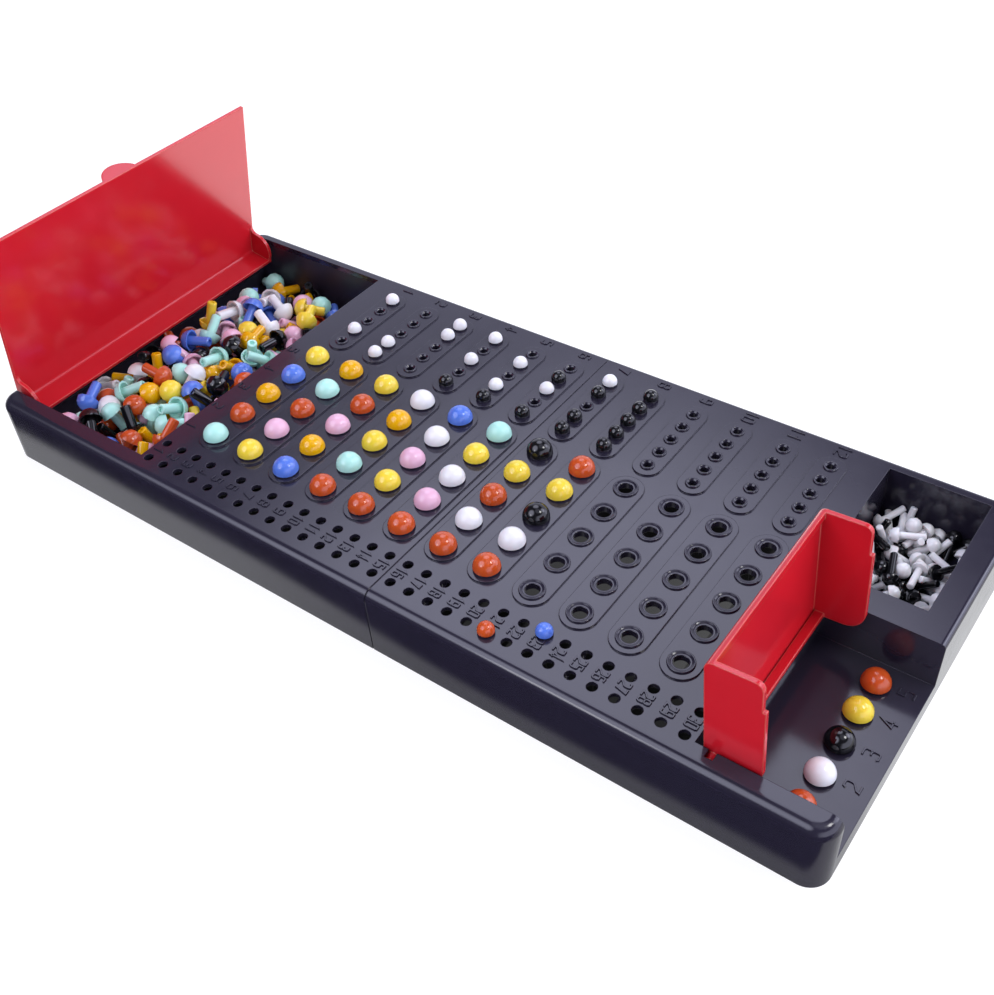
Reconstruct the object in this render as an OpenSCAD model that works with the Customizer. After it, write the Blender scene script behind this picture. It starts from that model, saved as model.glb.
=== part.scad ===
// Code-breaking peg game in a hinged travel case.
// Two dark half trays make one low case. Twelve guess rows of five holes cross the deck,
// each with five key holes behind it, and thirty pairs of score holes run along the front.
// A red lid opens over the peg store at the left end. A red shield opens over the secret
// row at the right end, and a small well behind the shield keeps the key pegs.
//
// Origin: centre of the case's underside. +X runs from the peg store to the secret row,
// +Y from the score holes to the row numbers, +Z up. Millimetres.

/* [Case] */
// Length of the case along X
case_l = 393.5; // [380:0.5:420]
// Depth of the case along Y
case_w = 166; // [160:1:180]
// Height from the table to the top of the deck
case_h = 30; // [28:0.5:36]
// Thickness of the outer walls and of the walls of the stores
wall = 2.2; // [1.6:0.1:3]
// Thickness of the deck
deck_t = 1.8; // [1.6:0.1:3]
// Radius of the vertical corners
corner_r = 8; // [6:0.5:10]
// Radius of the roll along the front top edge
rim_r = 4.3; // [3:0.1:5]
// Radius of the roll along the back edge and the end beside the well
back_rim_r = 2; // [1:0.1:3]
// Depth of the groove that shows where the half trays meet
seam_depth = 0.4; // [0.2:0.1:0.6]
// Width of the rail in front of the stores
front_rail = 9.5; // [9:0.1:11]
// Width of the wall behind the stores
back_rail = 4.7; // [4:0.1:6]
// Thickness of the floor of the stores
floor_t = 3; // [2:0.5:4]

/* [Playing field] */
// Number of guess rows
rows = 12; // [8:2:12]
// Distance between guess rows
row_pitch = 20; // [18:0.5:20]
// Middle of the playing field, which is also the seam between the half trays
field_x = 17.65; // [14:0.05:18]
// Holes in one guess row
row_holes = 5; // [4:1:5]
// Distance between the code holes of a row
code_pitch = 15.7; // [14:0.1:16]
// Y of the front code hole of each row
code_y = -48.7; // [-50:0.1:-46]
// Distance between the key holes of a row
key_pitch = 9.06; // [8:0.01:9.5]
// Y of the front key hole of each row
key_y = 30.3; // [29:0.1:32]
// Number of pairs of score holes
score_pairs = 30; // [20:2:30]
// Distance between pairs of score holes
score_pitch = 8.62; // [8:0.01:8.7]
// Y of the front row of score holes
score_y = -72.9; // [-74:0.1:-70]
// Distance between the two rows of score holes
score_gap = 10.3; // [8:0.1:11]
// Height of the raised pads under the holes
pad_h = 0.7; // [0.3:0.1:0.9]
// Radius of a code hole
code_hole_r = 2.9; // [2.6:0.1:3.2]
// Radius of a key hole
key_hole_r = 1.6; // [1.5:0.05:1.9]
// Radius of a score hole
score_hole_r = 2; // [1.8:0.1:2.2]

/* [Stores and bay] */
// Distance from the left end to the right edge of the peg store
store_end = 85.4; // [80:0.1:90]
// Height of the wall left standing below the lid's skirt
end_wall_h = 14.4; // [12:0.1:14.5]
// X of the left edge of the bay and of the key-peg well
bay_x = 146.65; // [143:0.05:147]
// Y of the back edge of the bay
bay_back = 5.2; // [4:0.1:6]
// Height of the bay's floor
bay_floor = 9; // [8.5:0.1:10]
// Y of the front edge of the key-peg well
well_front = 16.7; // [14:0.1:18]
// Width of the key-peg well along X
well_w = 39.3; // [36:0.1:40]
// X of the secret row of code holes
secret_x = 179.65; // [176:0.05:181]
// Distance between the holes of the secret row
secret_pitch = 14.7; // [13:0.1:15]

/* [Lid] */
// Thickness of the lid's panel
lid_t = 1.6; // [1.4:0.1:2]
// Distance from the lid's hinge line to its free edge
lid_reach = 79.1; // [78:0.1:79.5]
// Height of the hinge line below the deck's top
lid_drop = 5.5; // [5:0.1:6]
// Distance from the end of the case to the lid's hinge line
lid_inset = 4.9; // [4.5:0.1:5.5]
// Depth of the skirt below the hinge line
skirt = 8; // [7:0.1:8.2]
// Radius of the ears around the hinge pins
ear_r = 8.4; // [8:0.1:8.6]
// Angle of the open lid above the deck
lid_open = 79.5; // [0:0.5:90]

/* [Shield] */
// Thickness of the shield's panel
shield_t = 1.8; // [1.6:0.1:2.2]
// Distance from the shield's hinge line to its free edge
shield_reach = 42.8; // [40:0.1:44]
// Height of the hinge line below the deck's top
shield_drop = 3.5; // [3:0.1:4]
// X of the shield's hinge line
shield_x = 152.95; // [152:0.05:154]
// Depth of the cheeks below the hinge line
cheek = 16.7; // [14:0.1:16.8]
// Angle of the open shield above the deck
shield_open = 93.5; // [0:0.5:94]

/* [Hinges] */
// Radius of the hinge pins
pin_r = 1.9; // [1.5:0.1:2]
// Play between a hinge pin and its bore
pin_play = 0.05; // [0.02:0.01:0.1]

/* [Pegs] */
// Radius of a code peg's head
code_head_r = 5.3; // [5:0.1:5.5]
// Radius of a code peg's stem
code_stem_r = 2.35; // [2.2:0.05:2.5]
// Length of a code peg's stem below the head's rim
code_stem = 9.8; // [8.5:0.1:9.8]
// Wall of the hollow head
head_t = 1; // [0.8:0.1:1.4]
// Radius of a key or score peg's head
key_head_r = 3.2; // [3:0.1:3.4]
// Radius of a key or score peg's stem
key_stem_r = 1.4; // [1.3:0.05:1.5]
// Length of a key or score peg's stem
key_stem = 10.2; // [9:0.1:11]
// Height of a standing peg's rim above its pad
peg_gap = 0.7; // [0.6:0.1:0.9]
// Height of a secret peg's rim above the bay's floor
secret_gap = 1; // [0.9:0.1:1.2]

/* [Hidden] */
$fn = 48;
eps = 0.01;

// Peg colours, by number
TEAL = 0;
RED = 1;
ORANGE = 2;
BLUE = 3;
YELLOW = 4;
PINK = 5;
WHITE = 6;
BLACK = 7;
PAINT = [
  [0.45, 0.85, 0.80], [0.75, 0.18, 0.08], [0.95, 0.55, 0.08], [0.16, 0.32, 0.85],
  [0.98, 0.80, 0.10], [0.95, 0.50, 0.78], [0.95, 0.95, 0.97], [0.08, 0.08, 0.08]
];
EMPTY = -1;

// Guesses so far: one list per row, front hole first
GUESSES = [
  [TEAL, RED, ORANGE, BLUE, YELLOW],
  [YELLOW, PINK, RED, TEAL, ORANGE],
  [BLUE, ORANGE, PINK, RED, YELLOW],
  [RED, TEAL, YELLOW, ORANGE, WHITE],
  [RED, YELLOW, PINK, WHITE, BLUE],
  [RED, PINK, WHITE, YELLOW, TEAL],
  [RED, WHITE, RED, YELLOW, BLACK],
  [RED, WHITE, BLACK, YELLOW, RED]
];
// Answers to the guesses, in the key holes
KEYS = [
  [EMPTY, WHITE, EMPTY, EMPTY, WHITE],
  [WHITE, WHITE, EMPTY, EMPTY, EMPTY],
  [EMPTY, EMPTY, EMPTY, WHITE, WHITE],
  [BLACK, EMPTY, WHITE, EMPTY, WHITE],
  [BLACK, WHITE, EMPTY, WHITE, EMPTY],
  [BLACK, EMPTY, WHITE, BLACK, EMPTY],
  [BLACK, BLACK, EMPTY, BLACK, WHITE],
  [BLACK, BLACK, BLACK, BLACK, BLACK]
];
SECRET = [RED, WHITE, BLACK, YELLOW, RED];
// Score holes in use: pair number and 0 for the front hole or 1 for the back hole
RED_SCORE = [21, 0];
BLUE_SCORE = [23, 1];

left_x = -case_l / 2;
right_x = case_l / 2;
front_y = -case_w / 2;
back_y = case_w / 2;
store_front = front_y + front_rail;
store_back = back_y - back_rail;
store_left = left_x + wall;
store_right = left_x + store_end;
secret_y = (store_front + bay_back) / 2;
lid_x = left_x + lid_inset;
lid_z = case_h - lid_drop;
lid_gap = 1.5;
lid_front = store_front + lid_gap;
lid_back = store_back - lid_gap;
shield_z = case_h - shield_drop;
shield_gap = 0.7;
shield_front = store_front + shield_gap;
shield_back = bay_back - shield_gap;
bore_r = pin_r + pin_play;
pad_w = 14.4;
key_pad_w = 11.8;
rib_t = 1.4;
seam_half = 0.25;
ledge_t = 0.6;
ledge_top = 10.3;
// Places of the long ribs: behind the score holes and in front of the key holes
score_rib = 6;
key_rib = 8;
// Distance from the secret row to the cross rib below the bay's floor
secret_rib = 10;
slot_half = pin_r - 0.4;

function row_x(i) = field_x + (i - (rows - 1) / 2) * row_pitch;
function score_x(n) = field_x + (n - (score_pairs + 1) / 2) * score_pitch;
function secret_hole_y(k) = secret_y + (k - (row_holes - 1) / 2) * secret_pitch;

// ---- case ----

// Section of the case's edge: a block with its outer top edge rolled to radius r
module edge_section(r) {
  difference() {
    square([corner_r, case_h]);
    translate([corner_r - r, case_h - r]) difference() {
      square(r + 1);
      circle(r);
    }
  }
}

// Straight edge along +X, its inner face at y = 0 and its outer face at y = corner_r
module straight_edge(len, r) {
  rotate([90, 0, 90]) linear_extrude(len) edge_section(r);
}

// Quarter corner, with its centre at the origin and its walls towards -X and +Y
module round_corner(r) {
  intersection() {
    rotate_extrude() edge_section(r);
    translate([-2 * corner_r, 0, -1]) cube([2 * corner_r, 2 * corner_r, case_h + 2]);
  }
}

// One end of the case as a solid block: outer end at x = 0, seam at x = len. The end's roll
// changes from the front radius to the back radius where the end is cut away later.
module half_block(len) {
  mid = case_w / 2 - corner_r;
  change_y = store_front + 30;
  difference() {
    union() {
      translate([corner_r, -mid, 0]) cube([len - corner_r, 2 * mid, case_h]);
      translate([corner_r, mid, 0]) straight_edge(len - corner_r, back_rim_r);
      mirror([0, 1, 0]) translate([corner_r, mid, 0]) straight_edge(len - corner_r, rim_r);
      translate([corner_r, -mid, 0]) rotate([0, 0, 90]) straight_edge(change_y + mid, rim_r);
      translate([corner_r, change_y, 0]) rotate([0, 0, 90])
        straight_edge(mid - change_y, back_rim_r);
      translate([corner_r, mid, 0]) round_corner(back_rim_r);
      mirror([0, 1, 0]) translate([corner_r, mid, 0]) round_corner(rim_r);
    }
    translate([len - seam_half, 0, 0]) rotate([90, 0, 90]) linear_extrude(seam_half + 1)
      difference() {
        translate([-case_w / 2 - 1, -1]) square([case_w + 2, case_h + 2]);
        seam_section();
      }
  }
}

// Outline across the case that the half trays keep at the seam, inside the groove
module seam_section() {
  side = case_w / 2 - seam_depth;
  top = case_h - seam_depth;
  front_r = rim_r - seam_depth;
  back_r = back_rim_r - seam_depth;
  translate([-side, -2]) square([2 * side, top - front_r + 2]);
  translate([-side + front_r, -2]) square([2 * side - front_r - back_r, top + 2]);
  translate([0, -2]) square([side, top - back_r + 2]);
  translate([-side + front_r, top - front_r]) circle(front_r);
  translate([side - back_r, top - back_r]) circle(back_r);
}

// Box between two corners given as x0, y0, z0 and x1, y1, z1
module block(a, b) {
  translate(a) cube(b - a);
}

// Raised pads for the rows numbered from i0 to i1: a long one for the code, a short one for keys
module pads(i0, i1) {
  for (i = [i0:i1]) {
    pad(row_x(i), code_y, code_y + (row_holes - 1) * code_pitch, pad_w);
    pad(row_x(i), key_y, key_y + (row_holes - 1) * key_pitch, key_pad_w);
  }
}

// One pad with round ends around the first and the last hole
module pad(x, y0, y1, w) {
  translate([x, 0, case_h - eps]) linear_extrude(pad_h + eps) {
    translate([-w / 2, y0]) square([w, y1 - y0]);
    translate([0, y0]) circle(w / 2);
    translate([0, y1]) circle(w / 2);
  }
}

// Outlines of all the holes of the rows i0 to i1 and of the score pairs n0 to n1
module hole_outlines(i0, i1, n0, n1) {
  for (i = [i0:i1], k = [0:row_holes - 1]) {
    translate([row_x(i), code_y + k * code_pitch]) circle(code_hole_r, $fn = 32);
    translate([row_x(i), key_y + k * key_pitch]) circle(key_hole_r, $fn = 24);
  }
  for (n = [n0:n1], side = [0, 1])
    translate([score_x(n), score_y + side * score_gap]) circle(score_hole_r, $fn = 24);
}

// Hollows below the deck between x0 and x1, one column per row, parted by cross ribs
module deck_hollows(x0, x1, first_rib) {
  top = case_h - deck_t;
  ys = [front_y + wall, score_y + score_gap + score_rib, key_y - key_rib, back_y - wall];
  edges = concat([x0 - rib_t / 2], [for (x = [first_rib:row_pitch:x1 - 4]) x], [x1 + rib_t / 2]);
  for (i = [0:len(edges) - 2], j = [0:len(ys) - 2])
    block([edges[i] + rib_t / 2, ys[j] + (j > 0 ? rib_t / 2 : 0), -1],
          [edges[i + 1] - rib_t / 2, ys[j + 1] - (j < len(ys) - 2 ? rib_t / 2 : 0), top]);
}

// Long bore along Y for a hinge pin
module hinge_bore(x, z, y0, y1) {
  translate([x, y1, z]) rotate([90, 0, 0]) cylinder(r = bore_r, h = y1 - y0);
}

module left_tray() {
  color([0.13, 0.13, 0.17]) difference() {
    union() {
      translate([left_x, 0, 0]) half_block(field_x - left_x);
      pads(0, rows / 2 - 1);
    }
    // peg store with a low ledge along its end wall, and the gap above that wall
    block([store_left + ledge_t, store_front, floor_t], [store_right, store_back, case_h + 1]);
    block([store_left, store_front, ledge_top], [store_left + 1, store_back, case_h + 1]);
    block([left_x - 1, store_front, end_wall_h], [store_left + 1, store_back, case_h + 1]);
    // hollow front rail beside the store
    block([left_x + corner_r, front_y + wall, -1],
          [store_right, store_front - wall, case_h - deck_t]);
    deck_hollows(store_right + wall, field_x - wall, row_x(0) - row_pitch / 2);
    hinge_bore(lid_x, lid_z, store_front - wall - 1, store_front + 1);
    hinge_bore(lid_x, lid_z, store_back - 1, store_back + 3);
    translate([0, 0, case_h - deck_t - 1]) linear_extrude(deck_t + pad_h + 2)
      hole_outlines(0, rows / 2 - 1, 1, score_pairs / 2);
  }
}

module right_tray() {
  well_right = bay_x + well_w;
  rail_top = case_h - deck_t;
  bay_under = bay_floor - wall;
  color([0.13, 0.13, 0.17]) difference() {
    union() {
      translate([right_x, 0, 0]) mirror([1, 0, 0]) half_block(right_x - field_x);
      pads(rows / 2, rows - 1);
    }
    // bay for the secret row, open at the end of the case
    block([bay_x, store_front, bay_floor], [right_x + 1, bay_back, case_h + 1]);
    // well for the key pegs
    block([bay_x, well_front, floor_t], [well_right, store_back, case_h + 1]);
    // hollows: front rail, divider, end wall beside the well, and below the bay's floor
    block([bay_x, front_y + wall, -1], [right_x - corner_r, store_front - wall, rail_top]);
    block([bay_x, bay_back + wall, -1], [well_right, well_front - wall, rail_top]);
    block([well_right + wall, bay_back + wall, -1],
          [right_x - wall, store_back - wall, rail_top]);
    block([bay_x, store_front + eps, -1], [secret_x - secret_rib, bay_back, bay_under]);
    block([secret_x - secret_rib + rib_t, store_front + eps, -1],
          [right_x - wall, bay_back, bay_under]);
    deck_hollows(field_x + wall, bay_x - wall, row_x(rows / 2) + row_pitch / 2);
    hinge_bore(shield_x, shield_z, store_front - wall - 1, store_front + 1);
    hinge_bore(shield_x, shield_z, bay_back - 1, bay_back + wall + 1);
    // snap-in slots above the shield's bores, narrower than the pins
    block([shield_x - slot_half, store_front - wall - 1, shield_z],
          [shield_x + slot_half, store_front + 1, case_h + 1]);
    block([shield_x - slot_half, bay_back - 1, shield_z],
          [shield_x + slot_half, bay_back + wall + 1, case_h + 1]);
    translate([0, 0, case_h - deck_t - 1]) linear_extrude(deck_t + pad_h + 2)
      hole_outlines(rows / 2, rows - 1, score_pairs / 2 + 1, score_pairs);
    for (k = [0:row_holes - 1])
      translate([secret_x, secret_hole_y(k), bay_under - 1])
        cylinder(r = code_hole_r, h = wall + 2, $fn = 32);
  }
}

// ---- lid and shield, drawn closed around their hinge lines at the origin ----

// Sweep of a side view (x across, y up) between two places along Y
module side_sweep(y0, y1) {
  translate([0, y1, 0]) rotate([90, 0, 0]) linear_extrude(y1 - y0) children();
}

lid_bend = 3;
lid_heel = -lid_inset;

// Side view of the lid's panel and skirt, one sheet with a round bend
module lid_sheet() {
  translate([lid_heel + lid_bend, lid_drop - lid_t]) square([lid_reach - lid_heel - lid_bend, lid_t]);
  translate([lid_heel, -skirt]) square([lid_t, skirt + lid_drop - lid_bend]);
  translate([lid_heel + lid_bend, lid_drop - lid_bend]) intersection() {
    difference() {
      circle(lid_bend);
      circle(lid_bend - lid_t);
    }
    translate([-lid_bend, 0]) square(lid_bend);
  }
}

// Side view of one ear: a round lobe about the pin that runs up into the panel
module lid_ear() {
  fillet = 3;
  under = lid_drop - lid_t;
  intersection() {
    union() {
      circle(ear_r);
      translate([lid_heel + lid_bend, 0]) square([ear_r - lid_heel - lid_bend, lid_drop]);
      translate([lid_heel, -skirt]) square([-lid_heel, skirt + lid_drop - lid_bend]);
      translate([lid_heel + lid_bend, lid_drop - lid_bend]) circle(lid_bend);
    }
    translate([lid_heel, -ear_r - 1]) square([ear_r - lid_heel, ear_r + 1 + lid_drop]);
  }
  translate([ear_r - eps, under - fillet]) difference() {
    square([fillet, fillet + eps]);
    translate([fillet, 0]) circle(fillet);
  }
}

// D-shaped tab that stands on the free edge for a fingertip
module finger_tab() {
  tab_r = 9.5;
  tab_h = 6.5;
  tab_mid = (lid_front + lid_back) / 2;
  translate([lid_reach - lid_t, tab_mid, lid_drop + tab_h - tab_r]) intersection() {
    rotate([0, 90, 0]) cylinder(r = tab_r, h = lid_t);
    translate([-1, -tab_r, tab_r - tab_h - eps]) cube([lid_t + 2, 2 * tab_r, tab_h + 1]);
  }
}

module peg_store_lid() {
  pin_in = 2;
  color([0.75, 0.08, 0.12]) translate([lid_x, 0, lid_z]) rotate([0, -lid_open, 0]) {
    side_sweep(lid_front, lid_back) lid_sheet();
    side_sweep(lid_front, lid_front + lid_t) lid_ear();
    side_sweep(lid_back - lid_t, lid_back) lid_ear();
    finger_tab();
    translate([0, lid_front + eps, 0]) rotate([90, 0, 0])
      cylinder(r = pin_r, h = lid_gap + pin_in);
    translate([0, lid_back - eps, 0]) rotate([-90, 0, 0])
      cylinder(r = pin_r, h = lid_gap + pin_in);
  }
}

shield_heel = -5;
shield_flange = -2.2;
shield_lip = 3;

// Side view of the shield's panel, with a short flange at the hinge and a thick free edge
module shield_sheet() {
  translate([shield_heel, shield_drop - shield_t])
    square([shield_reach - shield_heel - shield_lip, shield_t]);
  translate([shield_heel, shield_flange]) square([shield_t, shield_drop]);
  translate([shield_reach - shield_lip, shield_drop - shield_lip])
    intersection() {
      circle(shield_lip);
      square(shield_lip);
    }
}

// Side view of a cheek: deep at the secret row, with round corners
module shield_cheek() {
  heel_r = 8;
  nose_r = 3;
  step = 1.1;
  step_x = 31;
  toe = shield_reach - nose_r;
  translate([shield_heel, -cheek + heel_r])
    square([toe - shield_heel, cheek - heel_r + shield_drop - shield_t + eps]);
  translate([shield_heel + heel_r, -cheek]) square([step_x - shield_heel - heel_r, heel_r + eps]);
  translate([shield_heel + heel_r, -cheek + heel_r]) circle(heel_r);
  translate([step_x - eps, -cheek + step]) square([toe - step_x, heel_r]);
  translate([toe - eps, -cheek + step + nose_r])
    square([nose_r, cheek - step - nose_r + shield_drop - shield_lip]);
  translate([toe, -cheek + step + nose_r]) circle(nose_r);
}

module code_shield() {
  pin_in = 2;
  color([0.75, 0.08, 0.12]) translate([shield_x, 0, shield_z]) rotate([0, -shield_open, 0]) {
    side_sweep(shield_front, shield_back) shield_sheet();
    side_sweep(shield_front, shield_front + shield_t) shield_cheek();
    side_sweep(shield_back - shield_t, shield_back) shield_cheek();
    translate([0, shield_front + eps, 0]) rotate([90, 0, 0])
      cylinder(r = pin_r, h = shield_gap + pin_in);
    translate([0, shield_back - eps, 0]) rotate([-90, 0, 0])
      cylinder(r = pin_r, h = shield_gap + pin_in);
  }
}

// ---- pegs, with the rim of the head at z = 0 and the stem down ----

// Code peg: a hollow dome on a stout stem
module code_peg() {
  span = 4 * code_head_r;
  root_z = code_head_r - 2 * head_t;
  difference() {
    sphere(code_head_r);
    translate([-span / 2, -span / 2, -span]) cube(span);
    intersection() {
      sphere(code_head_r - head_t);
      translate([-span / 2, -span / 2, -1]) cube([span, span, root_z]);
    }
  }
  translate([0, 0, -code_stem]) cylinder(r = code_stem_r, h = code_stem + root_z + 0.3);
}

// Key or score peg: a small solid dome on a slim stem
module key_peg() {
  rim = 0.5;
  cylinder(r = key_head_r, h = rim + eps);
  translate([0, 0, rim]) intersection() {
    sphere(key_head_r);
    translate([-2 * key_head_r, -2 * key_head_r, 0]) cube(4 * key_head_r);
  }
  translate([0, 0, -key_stem]) cylinder(r = key_stem_r, h = key_stem + rim);
}

// All code pegs of one colour that stand in the guess rows
module guess_pegs(hue) {
  color(PAINT[hue]) for (i = [0:len(GUESSES) - 1], k = [0:row_holes - 1])
    if (GUESSES[i][k] == hue)
      translate([row_x(i), code_y + k * code_pitch, case_h + pad_h + peg_gap]) code_peg();
}

// All key pegs of one colour that stand in the key holes
module key_pegs(hue) {
  color(PAINT[hue]) for (i = [0:len(KEYS) - 1], k = [0:row_holes - 1])
    if (KEYS[i][k] == hue)
      translate([row_x(i), key_y + k * key_pitch, case_h + pad_h + peg_gap]) key_peg();
}

module score_peg(hue, place) {
  color(PAINT[hue])
    translate([score_x(place[0]), score_y + place[1] * score_gap, case_h + peg_gap]) key_peg();
}

module secret_peg(k) {
  color(PAINT[SECRET[k]])
    translate([secret_x, secret_hole_y(k), bay_floor + secret_gap]) code_peg();
}

// ---- loose pegs: layers of lying pegs, head beside stem in turn ----

loose_side = code_head_r + code_stem_r + 0.5;
loose_long = code_head_r + code_stem + 0.5;
loose_up = 2 * code_head_r + 0.2;
code_seats = [
  for (layer = [0, 1], row = [0:4], n = [0:17])
    if (layer == 0 || row > 0)
      [store_right - 0.8 - loose_long * (5 - row), store_front + 3 + code_head_r / 2 + loose_side * n,
       floor_t + code_head_r + 0.1 + loose_up * layer, (row + n + layer) % 2]
];
code_hues = [for (r = rands(0, 8, len(code_seats), 11)) floor(r)];

key_side = key_head_r + key_stem_r + 0.4;
key_long = key_head_r + 0.5 + key_stem + 0.6;
key_up = 2 * key_head_r + 0.2;
key_seats = [
  for (layer = [0:2], row = [0, 1], n = [0:11 - 2 * layer])
    [bay_x + 4 + key_long * row, well_front + key_head_r + 0.1 + key_side * n,
     floor_t + key_head_r + 0.1 + key_up * layer, (row + n + layer) % 2]
];
key_hues = [for (r = rands(0, 1, len(key_seats), 5)) r < 0.65 ? WHITE : BLACK];

// A peg laid along X in a seat that is len long, with its head at either end
module lying(seat, head, len) {
  translate([seat[0] + (seat[3] == 0 ? head : len - head), seat[1], seat[2]])
    rotate([0, seat[3] == 0 ? -90 : 90, 0]) children();
}

module loose_pegs(hue) {
  color(PAINT[hue]) for (n = [0:len(code_seats) - 1])
    if (code_hues[n] == hue) lying(code_seats[n], code_head_r, loose_long - 0.5) code_peg();
}

module loose_keys(hue) {
  color(PAINT[hue]) for (n = [0:len(key_seats) - 1])
    if (key_hues[n] == hue) lying(key_seats[n], key_head_r + 0.5, key_long - 0.6) key_peg();
}

left_tray();
right_tray();
peg_store_lid();
code_shield();
guess_pegs(TEAL);  // guess_teal
guess_pegs(RED);  // guess_red
guess_pegs(ORANGE);  // guess_orange
guess_pegs(BLUE);  // guess_blue
guess_pegs(YELLOW);  // guess_yellow
guess_pegs(PINK);  // guess_pink
guess_pegs(WHITE);  // guess_white
guess_pegs(BLACK);  // guess_black
key_pegs(WHITE);  // key_white
key_pegs(BLACK);  // key_black
score_peg(RED, RED_SCORE);  // score_red
score_peg(BLUE, BLUE_SCORE);  // score_blue
secret_peg(0);  // secret_1
secret_peg(1);  // secret_2
secret_peg(2);  // secret_3
secret_peg(3);  // secret_4
secret_peg(4);  // secret_5
loose_pegs(TEAL);  // loose_teal
loose_pegs(RED);  // loose_red
loose_pegs(ORANGE);  // loose_orange
loose_pegs(BLUE);  // loose_blue
loose_pegs(YELLOW);  // loose_yellow
loose_pegs(PINK);  // loose_pink
loose_pegs(WHITE);  // loose_white
loose_pegs(BLACK);  // loose_black
loose_keys(WHITE);  // loose_key_white
loose_keys(BLACK);  // loose_key_black
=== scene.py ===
"""Looks of a code-breaking peg board in a hinged travel case.

Lengths are in millimetres up to the point where a mesh is filled, which turns them into metres.
The floor's regions and the lamps are given in metres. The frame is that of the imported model: +X
runs from the peg store to the secret row, +Y from the score holes to the row numbers, +Z up, and
the table is at z = 0.
"""

import math

import bpy
import numpy as np
from mathutils import Matrix, Vector


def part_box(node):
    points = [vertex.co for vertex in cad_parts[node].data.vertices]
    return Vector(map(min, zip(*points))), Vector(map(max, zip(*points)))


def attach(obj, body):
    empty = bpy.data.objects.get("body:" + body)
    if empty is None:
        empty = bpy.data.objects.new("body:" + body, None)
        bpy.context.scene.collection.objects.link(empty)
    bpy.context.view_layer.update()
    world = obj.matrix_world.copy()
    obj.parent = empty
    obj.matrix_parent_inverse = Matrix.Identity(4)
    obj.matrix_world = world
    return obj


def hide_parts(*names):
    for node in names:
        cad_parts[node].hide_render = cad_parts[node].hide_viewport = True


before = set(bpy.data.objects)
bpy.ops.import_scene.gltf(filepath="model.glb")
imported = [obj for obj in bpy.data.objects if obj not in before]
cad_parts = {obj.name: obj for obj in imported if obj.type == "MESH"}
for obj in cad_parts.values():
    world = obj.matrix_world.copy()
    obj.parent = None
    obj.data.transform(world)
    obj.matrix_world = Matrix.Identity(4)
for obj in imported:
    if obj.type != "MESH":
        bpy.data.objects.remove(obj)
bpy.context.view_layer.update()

MM = 0.001
COLOURS = ("teal", "red", "orange", "blue", "yellow", "pink", "white", "black")


def node_box(name):
    """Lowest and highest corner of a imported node, in millimetres."""
    low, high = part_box(name)
    return np.array(low) / MM, np.array(high) / MM


# ---- driving sizes ----

LEFT_LOW, LEFT_HIGH = node_box("left_tray")
PAD_TOP = LEFT_HIGH[2]
DECK_TOP = 30.0
SEAM_X = LEFT_HIGH[0]
ROWS = 12
ROW_PITCH = 20.0
ROW_HOLES = 5
CODE_PITCH = 15.7
CODE_Y = -48.7
CODE_HOLE_R = 2.86
KEY_PITCH = 9.06
KEY_Y = 30.3
KEY_HOLE_R = 1.56
SCORE_PAIRS = 30
SCORE_PITCH = 8.62
SCORE_Y = -72.9
SCORE_GAP = 10.3
BAY_FLOOR = 9.0
SECRET_X = SEAM_X + 162.0
SECRET_Y = -34.15
SECRET_PITCH = 14.7
STORE_SKIN = 2.2
STORE_WALLS_Y = (-78.0, 80.0)
STORE_LOW = np.array([LEFT_LOW[0] + 2.8, -73.5, 3.0])
STORE_HIGH = np.array([LEFT_LOW[0] + 85.4, 78.3, 25.5])
WELL_LOW = np.array([SEAM_X + 129.0, 16.7, 3.0])
WELL_HIGH = np.array([SEAM_X + 168.3, 78.3, 27.5])

HEAD_R = 5.3
STEM_R = 2.35
STEM = 9.8
KEY_HEAD_R = 3.2
KEY_STEM_R = 1.4
KEY_STEM = 10.2
SEAT_LEAN = math.radians(1.0)
# Random tones of the seated and of the loose pegs. The loose pegs' tones run higher, a painted
# lightening that offsets the shade inside the stores.
SEAT_TONES = (0.95, 1.05)
LOOSE_TONES_AND_PAINTED_LIGHT = (0.98, 1.10)

ROW_X = SEAM_X + (np.arange(ROWS) - (ROWS - 1) / 2) * ROW_PITCH
SCORE_X = SEAM_X + (np.arange(SCORE_PAIRS) - (SCORE_PAIRS - 1) / 2) * SCORE_PITCH
CODE_YS = CODE_Y + np.arange(ROW_HOLES) * CODE_PITCH
KEY_YS = KEY_Y + np.arange(ROW_HOLES) * KEY_PITCH


# ---- shapes: a shape is (points, quads, tris) ----


def turned(profile, sides, closed=False):
    """Surface of revolution about Z: each (radius, height) of the profile becomes a ring of
    (radius cos a, radius sin a, height), and a radius of 0 becomes one pole point. A profile
    runs down the outside, or is a closed loop that runs up the inside and down the outside."""
    profile = np.asarray(profile, float)
    angle = np.arange(sides) * (2 * math.pi / sides)
    circle = np.stack([np.cos(angle), np.sin(angle)], 1)
    rings, starts, total = [], [], 0
    for radius, height in profile:
        ring = circle * radius if radius > 0 else np.zeros((1, 2))
        rings.append(np.column_stack([ring, np.full(len(ring), height)]))
        starts.append(total)
        total += len(ring)
    quads, tris = [], []
    step = np.arange(sides)
    after = (step + 1) % sides
    pairs = [(i, i + 1) for i in range(len(profile) - 1)]
    if closed:
        pairs.append((len(profile) - 1, 0))
    for i, j in pairs:
        a, b = starts[i], starts[j]
        if len(rings[i]) == 1:
            tris.append(np.stack([np.full(sides, a), b + step, b + after], 1))
        elif len(rings[j]) == 1:
            tris.append(np.stack([a + step, np.full(sides, b), a + after], 1))
        else:
            quads.append(np.stack([a + step, b + step, b + after, a + after], 1))
    none4, none3 = np.zeros((0, 4), int), np.zeros((0, 3), int)
    return np.vstack(rings), np.vstack(quads or [none4]), np.vstack(tris or [none3])


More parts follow.
